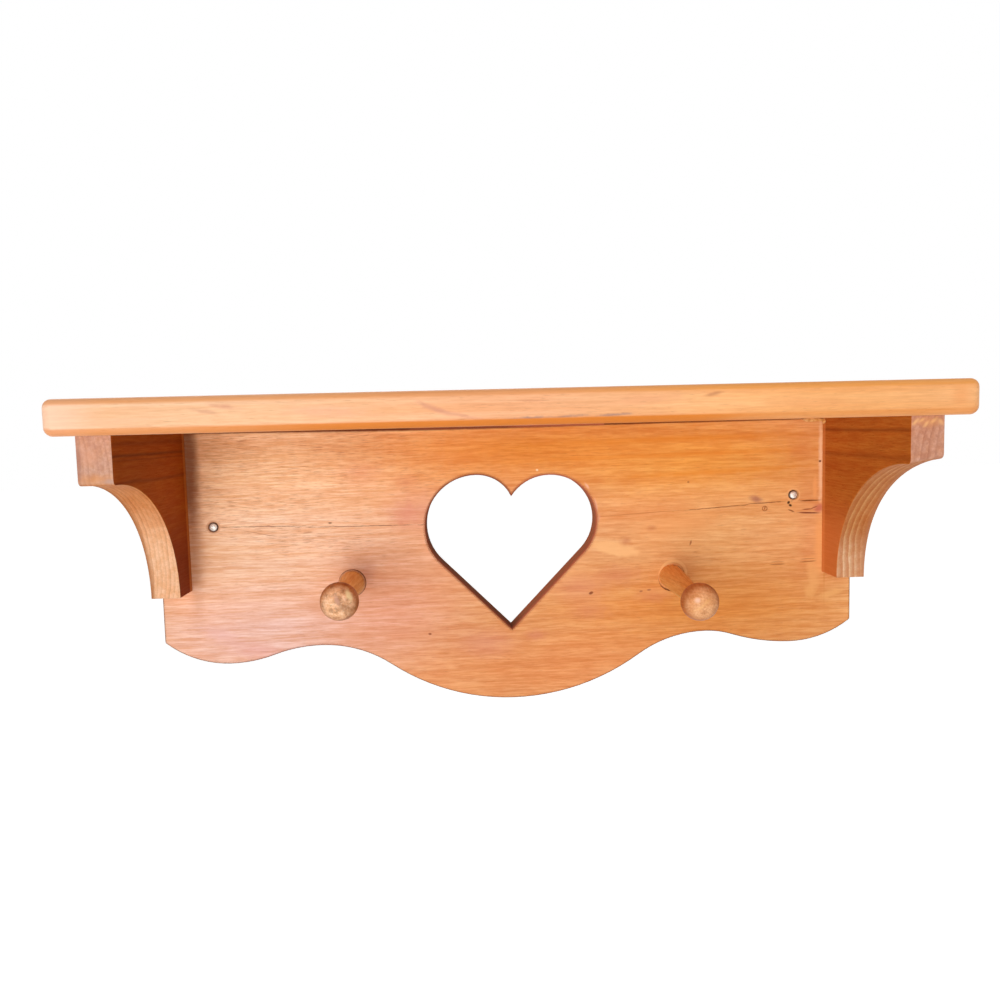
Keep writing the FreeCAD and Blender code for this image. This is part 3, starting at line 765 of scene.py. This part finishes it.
pegWood = {  # what both pegs share
    "wander": 0.003,
    "poreDensity": 0.3,
    "ballDepths": (-0.0720, -0.0790),  # where the shank turns into the ball
    # how squarely a place on the ball looks forward to get the painted light of the front
    "litFrontFacing": (0.30, 0.92),
    "lateShare": 0.35,
    "pores": ((110, 56, 26), 0.3),
    "blotchNoise": (170.0, 4.0, 0.6),
    "blotchRange": (0.47, 0.68),
    "mottling": 0.6,
    "ballDepth": -0.095,
    "markDepth": 0.012,
    "roughness": 0.4,
    "relief": 0.08,
    "specular": 0.08,
}
leftPeg = {
    "early": (232, 178, 108),
    "late": (172, 90, 38),
    "ballLitFront": (248, 197, 156),
    "ballShadedRim": (184, 116, 70),
    "mottle": (126, 66, 26),
    "ringSpacing": 0.0021,
    "pith": (-0.112, -0.118),
    "seed": 41.0,
    "marks": [
        # Painted highlight on the left ball
        (-0.1012, -0.0988, 0.0016, 0.0042, 22, 0.6, 1.5, (244, 216, 166), 0.9),
        (-0.1030, -0.0928, 0.0052, 0.0013, -18, 0.5, 0.8, (132, 66, 30), 0.75),
        (-0.1000, -0.1078, 0.0034, 0.0022, 20, 0.9, 0.6, (176, 118, 76), 0.6),
        (-0.1080, -0.1010, 0.0014, 0.0034, 20, 0.9, 0.6, (216, 168, 150), 0.7),
        (-0.1115, -0.0935, 0.0016, 0.0010, 60, 0.5, 0.8, (150, 96, 64), 0.6),
    ],
}
rightPeg = {
    "early": (234, 167, 95),
    "late": (176, 86, 34),
    "ballLitFront": (245, 180, 128),
    "ballShadedRim": (190, 114, 64),
    "mottle": (184, 108, 58),
    "ringSpacing": 0.0019,
    "pith": (0.108, -0.128),
    "seed": 47.0,
    "marks": [
        # Painted highlight on the right ball
        (0.1094, -0.1083, 0.0017, 0.0015, 20, 1.0, 0.6, (255, 214, 192), 0.8),
        (0.1130, -0.1112, 0.0046, 0.0009, 35, 1.0, 2.2, (246, 194, 134), 0.45),
        (0.1096, -0.1136, 0.0036, 0.0008, 35, 1.0, 2.2, (246, 192, 128), 0.4),
        (0.1150, -0.1090, 0.0026, 0.0007, 35, 1.0, 2.2, (240, 182, 116), 0.4),
    ],
}


def makePegWood(name, own):
    look = {**pegWood, **own}
    material, tree, shader = newMaterial(name)
    place, figured = woodBase(tree, look, look["poreDensity"], True)
    wobble = raggedEdges(tree, place)
    face = useGroup(tree, facing)
    # The ball is painted darker round its rim and paler on its front, as shade and light
    onBall = ranged(tree, parted(tree, place)[1], *look["ballDepths"])
    colour = mixed(tree, onBall, paint(look["early"]), paint(look["ballShadedRim"]))
    toneMask = product(tree, onBall, ranged(tree, face["Front"], *look["litFrontFacing"]))
    colour = mixed(tree, toneMask, colour, paint(look["ballLitFront"]))
    late = paint(look["late"])
    colour = stained(tree, figured, colour, late, look["lateShare"], *look["pores"], livelyFibre)
    blotches = ranged(tree, speckle(tree, place, *look["blotchNoise"])[0], *look["blotchRange"])
    blotches = product(tree, blotches, product(tree, onBall, look["mottling"]))
    colour = mixed(tree, blotches, colour, paint(look["mottle"]))
    colour = addMarks(tree, colour, place, wobble, look["marks"], look["ballDepth"], look["markDepth"])
    woodFinish(tree, shader, figured, colour, look)
    return material


steel = {
    "brushedNoise": (900.0, 3.0),
    "brushedRange": (0.3, 0.7),
    "brushedRoughness": (-0.08, 0.14),
    "spotNoise": (320.0, 2.0),
    "spotRange": (0.55, 0.75),
    "spotShade": 0.72,
    "relief": 0.08,
    "reliefDistance": 0.0002,
}
hiddenScrews = {"colour": (168, 166, 160), "roughness": 0.42, "metallic": 1.0, "heads": ()}
wallScrews = {
    "colour": (244, 241, 236),
    "roughness": 0.42,
    "metallic": 0.35,
    "heads": ((-0.2009, -0.06376), (0.1970, -0.0526)),  # a bright middle in a rim of painted shade
    "headRadius": 0.0032,
    "brightRadius": 0.0026,
    "brightDepth": 0.1,
    "headRimShade": (92, 68, 54),
    "rimSoftness": 0.2,
    "rimRaggedness": 0.08,
}


def makeSteel(name, look):
    material, tree, shader = newMaterial(name)
    place = surfacePlace(tree)
    brushed = speckle(tree, place, *steel["brushedNoise"])[0]
    spots = ranged(tree, speckle(tree, place, *steel["spotNoise"])[0], *steel["spotRange"])
    spotColour = [part * steel["spotShade"] for part in look["colour"]]
    tint = mixed(tree, spots, paint(look["colour"]), paint(spotColour))
    roughAt = [look["roughness"] + change for change in steel["brushedRoughness"]]
    rough = ranged(tree, brushed, *steel["brushedRange"], *roughAt)
    # The rims of the heads are painted dark, as shade and dark reflection at the domes' edges
    if look["heads"]:
        radius = look["brightRadius"]
        halfSize = (radius, look["brightDepth"], radius)
        wobble = raggedEdges(tree, place)
        bright = 0.0
        for x, z in look["heads"]:
            fading = (look["rimSoftness"], look["rimRaggedness"])
            mask = markMask(tree, place, wobble, (x, 0.0, z), halfSize, 0, *fading)
            bright = calc(tree, "MAXIMUM", bright, mask)
        tint = mixed(tree, bright, paint(look["headRimShade"]), tint)
    reliefInputs = {"Height": brushed, "Strength": steel["relief"], "Distance": steel["reliefDistance"]}
    tree.links.new(tint, shader.inputs["Base Color"])
    tree.links.new(rough, shader.inputs["Roughness"])
    tree.links.new(put(tree, "ShaderNodeBump", reliefInputs).outputs[0], shader.inputs["Normal"])
    shader.inputs["Metallic"].default_value = look["metallic"]
    return material


nailFiller = {
    "dark": (214, 160, 106),
    "pale": (228, 180, 130),
    "noise": (1400.0, 3.0),
    "roughness": (0.75, 0.9),
    "relief": 0.2,
}
glue = {
    "dark": (214, 152, 78),
    "pale": (236, 188, 120),
    "noise": (500.0, 3.0),
    "roughness": (0.3, 0.5),
    "relief": 0.0,
}
paste = {"toneRange": (0.35, 0.65), "roughRange": (0.2, 0.8), "reliefDistance": 0.0002}


def makePaste(name, look):
    material, tree, shader = newMaterial(name)
    grains = speckle(tree, surfacePlace(tree), *look["noise"])[0]
    colour = mixed(tree, ranged(tree, grains, *paste["toneRange"]), paint(look["dark"]), paint(look["pale"]))
    rough = ranged(tree, grains, *paste["roughRange"], *look["roughness"])
    tree.links.new(colour, shader.inputs["Base Color"])
    tree.links.new(rough, shader.inputs["Roughness"])
    if look["relief"]:
        reliefInputs = {"Height": grains, "Strength": look["relief"], "Distance": paste["reliefDistance"]}
        tree.links.new(put(tree, "ShaderNodeBump", reliefInputs).outputs[0], shader.inputs["Normal"])
    return material


hiddenSteel = makeSteel("hiddenSteel", hiddenScrews)
driedGlue = makePaste("driedGlue", glue)
materialOf = {
    "shelf_board": makeShelfWood(),
    "back_board": makeBoardWood(),
    "left_bracket": makeBracketWood("leftBracketWood", leftBracket),
    "right_bracket": makeBracketWood("rightBracketWood", rightBracket),
    "left_peg": makePegWood("leftPegWood", leftPeg),
    "right_peg": makePegWood("rightPegWood", rightPeg),
    "wall_screws": makeSteel("wallScrewSteel", wallScrews),
    "bracket_screws": hiddenSteel,
    "bracket_nails": hiddenSteel,
    "back_nails": hiddenSteel,
    "nail_filler": makePaste("woodFiller", nailFiller),
}
for nodeName, material in materialOf.items():
    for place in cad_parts[nodeName].material_slots:
        place.material = material
print("materials assigned to", len(materialOf), "pieces")


def newPiece(name, points, faces, material):
    mesh = bpy.data.meshes.new(name)
    mesh.from_pydata(points, [], faces)
    mesh.update()
    for polygon in mesh.polygons:
        polygon.use_smooth = True
    mesh.materials.append(material)
    piece = bpy.data.objects.new(name, mesh)
    scene.collection.objects.link(piece)
    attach(piece, "root")
    return piece


# A ridge wound round a wall screw's free end, thin where it starts and ends.
screwThread = {
    "pitch": 0.0016,
    "root": 0.0017,
    "crest": 0.0021,
    "range": (0.0010, 0.0152),
    "stepsPerTurn": 28,
    "sink": 0.0002,
    "fadeSteepness": 9,
    "halfWidthShare": 0.3,
    "thinShare": 0.25,
    "crestShare": 0.12,
}


def threadRidge(name, centre):
    look = screwThread
    low, high = look["range"]
    turns = (high - low) / look["pitch"]
    steps = int(turns * look["stepsPerTurn"])
    points, faces = [], []
    for i in range(steps + 1):
        share = i / steps
        angle = 2 * math.pi * turns * share
        fade = min(1.0, share * look["fadeSteepness"], (1 - share) * look["fadeSteepness"])
        crest = look["root"] + (look["crest"] - look["root"]) * fade
        base = look["root"] - look["sink"]
        depth = low + (high - low) * share
        thin = look["thinShare"]
        halfWidth = look["pitch"] * look["halfWidthShare"] * (thin + (1 - thin) * fade)
        halfCrest = halfWidth * look["crestShare"]
        for radius, shift in ((base, -halfWidth), (crest, -halfCrest), (crest, halfCrest), (base, halfWidth)):
            x = centre.x + radius * math.cos(angle)
            z = centre.z + radius * math.sin(angle)
            points.append((x, depth + shift, z))
        if i:
            start = 4 * (i - 1)
            for side in range(4):
                nextSide = (side + 1) % 4
                faces.append((start + side, start + nextSide, start + 4 + nextSide, start + 4 + side))
    last = 4 * steps
    faces.append((0, 1, 2, 3))
    faces.append((last + 3, last + 2, last + 1, last))
    return newPiece(name, points, faces, materialOf["wall_screws"])


screwLow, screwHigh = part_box("wall_screws")
headRadius = wallScrews["headRadius"]
threadRidge("left_screw_thread", Vector((screwLow.x + headRadius, 0.0, screwLow.z + headRadius)))
threadRidge("right_screw_thread", Vector((screwHigh.x - headRadius, 0.0, screwHigh.z - headRadius)))
print("threads wound")


# Lumpy beads of glue that were squeezed out of the joints at the right bracket.
glueBeads = {
    "glue_bead_top": {
        "middle": (0.2103, -0.0192, -0.0012),
        "halfSize": (0.0070, 0.0011, 0.0014),
        "seed": 2.0,
    },
    "glue_bead_side": {
        "middle": (0.2168, -0.0215, -0.0020),
        "halfSize": (0.0006, 0.0030, 0.0018),
        "seed": 5.0,
    },
}
beadShape = {"rings": 10, "sides": 26, "lumps": (3.2, 1.5, 1.5), "lumpShare": 0.35}


def glueBead(name, look):
    rings, sides = beadShape["rings"], beadShape["sides"]
    alongLumps, acrossLumps, upLumps = beadShape["lumps"]
    points, faces = [], []
    for i in range(rings + 1):
        tilt = math.pi * i / rings
        for j in range(sides):
            turn = 2 * math.pi * j / sides
            way = Vector((math.cos(tilt), math.sin(tilt) * math.cos(turn), math.sin(tilt) * math.sin(turn)))
            spot = Vector((way.x * alongLumps + look["seed"], way.y * acrossLumps, way.z * upLumps))
            lump = 1 + beadShape["lumpShare"] * noise.noise(spot)
            points.append([m + w * h * lump for m, w, h in zip(look["middle"], way, look["halfSize"])])
    for i in range(rings):
        for j in range(sides):
            k = (j + 1) % sides
            faces.append((i * sides + j, i * sides + k, (i + 1) * sides + k, (i + 1) * sides + j))
    return newPiece(name, points, faces, driedGlue)


for beadName, beadLook in glueBeads.items():
    glueBead(beadName, beadLook)
print("glue beads placed")


# Floor, world, lights and camera
studio = {
    "floorLevel": -0.9,
    "floorReach": 14.0,
    "floorColour": (236, 235, 232),
    "floorRoughness": 0.9,
    "floorGlow": 0.7,
    "worldLight": 0.36,
    "aim": (0.0, -0.08, -0.08),
}
camera = {
    "place": (-0.02756, -0.60759, 0.00041),
    "yaw": 0.0361,
    "pitch": -0.0864,
    "roll": -0.0244,
    "lens": 31.13,
    "sensor": 36.0,
    "nearest": 0.01,
}
lights = {
    "window": {"place": (-0.44, -1.42, -0.34), "size": 1.1, "power": 13.3, "colour": (255, 251, 246)},
    "fill": {"place": (0.60, -0.90, 1.50), "size": 1.6, "power": 10.8, "colour": (255, 252, 248)},
    "rear": {"place": (-0.50, 1.50, 0.90), "size": 1.6, "power": 9.0, "colour": (255, 252, 248)},
}


def linkNew(name, data):
    item = bpy.data.objects.new(name, data)
    scene.collection.objects.link(item)
    return item


def seenRays(tree):  # rays that show a backdrop, so it can be white without lighting the object
    rays = put(tree, "ShaderNodeLightPath").outputs
    mirrored = calc(tree, "MAXIMUM", rays["Is Glossy Ray"], rays["Is Transmission Ray"])
    return calc(tree, "MAXIMUM", rays["Is Camera Ray"], mirrored)


def makeFloor():
    material, tree, shader = newMaterial("paleFloor")
    shader.inputs["Base Color"].default_value = paint(studio["floorColour"])
    shader.inputs["Roughness"].default_value = studio["floorRoughness"]
    shader.inputs["Emission Color"].default_value = (1.0, 1.0, 1.0, 1.0)
    tree.links.new(product(tree, seenRays(tree), studio["floorGlow"]), shader.inputs["Emission Strength"])
    reach, level = studio["floorReach"], studio["floorLevel"]
    corners = [(x * reach, y * reach, level) for x, y in ((-1, -1), (1, -1), (1, 1), (-1, 1))]
    mesh = bpy.data.meshes.new("floor")
    mesh.from_pydata(corners, [], [(0, 1, 2, 3)])
    mesh.materials.append(material)
    linkNew("floor", mesh)


def makeWorld():
    world = bpy.data.worlds.new("studio")
    scene.world = world
    world.use_nodes = True
    tree = world.node_tree
    background = tree.nodes["Background"]
    background.inputs["Color"].default_value = (1.0, 1.0, 1.0, 1.0)
    strength = ranged(tree, seenRays(tree), 0.0, 1.0, studio["worldLight"], 1.0)
    tree.links.new(strength, background.inputs["Strength"])


def makeLight(name, look):
    data = bpy.data.lights.new(name, "AREA")
    data.shape = "SQUARE"
    data.size = look["size"]
    data.energy = look["power"]
    data.color = paint(look["colour"])[:3]
    light = linkNew(name, data)
    light.location = look["place"]
    aim = Vector(studio["aim"]) - Vector(look["place"])
    light.rotation_euler = aim.to_track_quat("-Z", "Y").to_euler()


def makeCamera():
    yaw, pitch, roll = camera["yaw"], camera["pitch"], camera["roll"]
    ahead = Vector((math.sin(yaw) * math.cos(pitch), math.cos(yaw) * math.cos(pitch), math.sin(pitch)))
    levelSide = Vector((math.cos(yaw), -math.sin(yaw), 0.0))
    levelTop = levelSide.cross(ahead)
    side = math.cos(roll) * levelSide + math.sin(roll) * levelTop
    top = math.cos(roll) * levelTop - math.sin(roll) * levelSide
    data = bpy.data.cameras.new("camera")
    data.lens = camera["lens"]
    data.sensor_width = camera["sensor"]
    data.sensor_fit = "HORIZONTAL"
    data.clip_start = camera["nearest"]
    view = linkNew("camera", data)
    turn = Matrix((side, top, -ahead)).transposed()
    view.matrix_world = Matrix.Translation(camera["place"]) @ turn.to_4x4()
    scene.camera = view


makeFloor()
makeWorld()
for lightName, lightLook in lights.items():
    makeLight(lightName, lightLook)
makeCamera()
scene.view_settings.view_transform = "Standard"
print("floor, world, lights and camera set")
